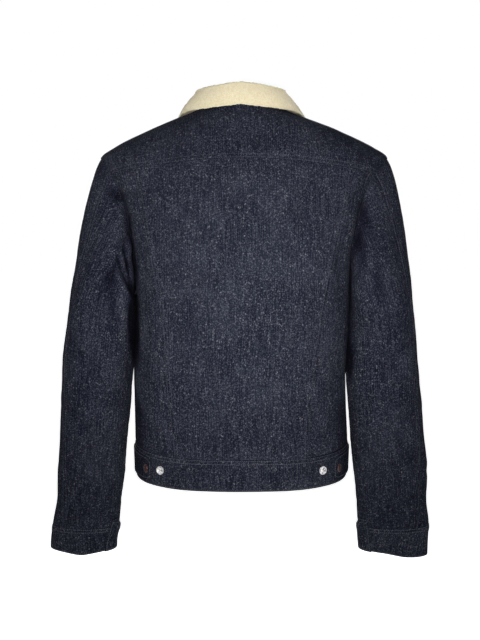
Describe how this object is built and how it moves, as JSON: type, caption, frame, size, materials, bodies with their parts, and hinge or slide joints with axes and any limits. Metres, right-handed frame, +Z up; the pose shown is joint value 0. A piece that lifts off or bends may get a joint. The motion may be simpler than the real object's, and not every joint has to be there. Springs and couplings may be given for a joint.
{
  "type": "sherpa lined jacket",
  "caption": "Hip length dark denim jacket with a folded cream sherpa collar, set-in sleeves, buttoned cuffs and a waistband with adjuster tabs, shaped as worn and hollow.",
  "frame": {"origin": "in the middle of the neck opening, level with the neck ends of the shoulder seams, where the wearer's shoulders carry the jacket", "axes": "+Z up the wearer's body, +Y towards the back of the jacket, +X towards the wearer's left"},
  "size_m": [0.6314, 0.2724, 0.7712],
  "materials": {
    "denim": "dark indigo twill with fine off-white slubs, matt",
    "sherpa": "cream curled pile",
    "silver_metal": "bright stamped metal",
    "copper_metal": "reddish copper tone metal"
  },
  "bodies": {
    "root": {"back_yoke": "denim", "back_center": "denim", "back_side_left": "denim", "back_side_right": "denim", "front_left": "denim", "front_right": "denim", "sleeve_left_top": "denim", "sleeve_right_top": "denim", "sleeve_left_under": "denim", "sleeve_right_under": "denim", "cuff_left": "denim", "cuff_right": "denim", "waistband": "denim", "waist_tab_left": "denim", "waist_tab_right": "denim", "collar": "sherpa", "front_button_1": "silver_metal", "front_button_2": "silver_metal", "front_button_3": "silver_metal", "front_button_4": "silver_metal", "front_button_5": "silver_metal", "waistband_button": "silver_metal", "waist_button_left": "silver_metal", "waist_button_right": "silver_metal", "cuff_button_left": "silver_metal", "cuff_button_right": "silver_metal", "tab_button_left": "copper_metal", "tab_button_right": "copper_metal"}
  },
  "joints": []
}
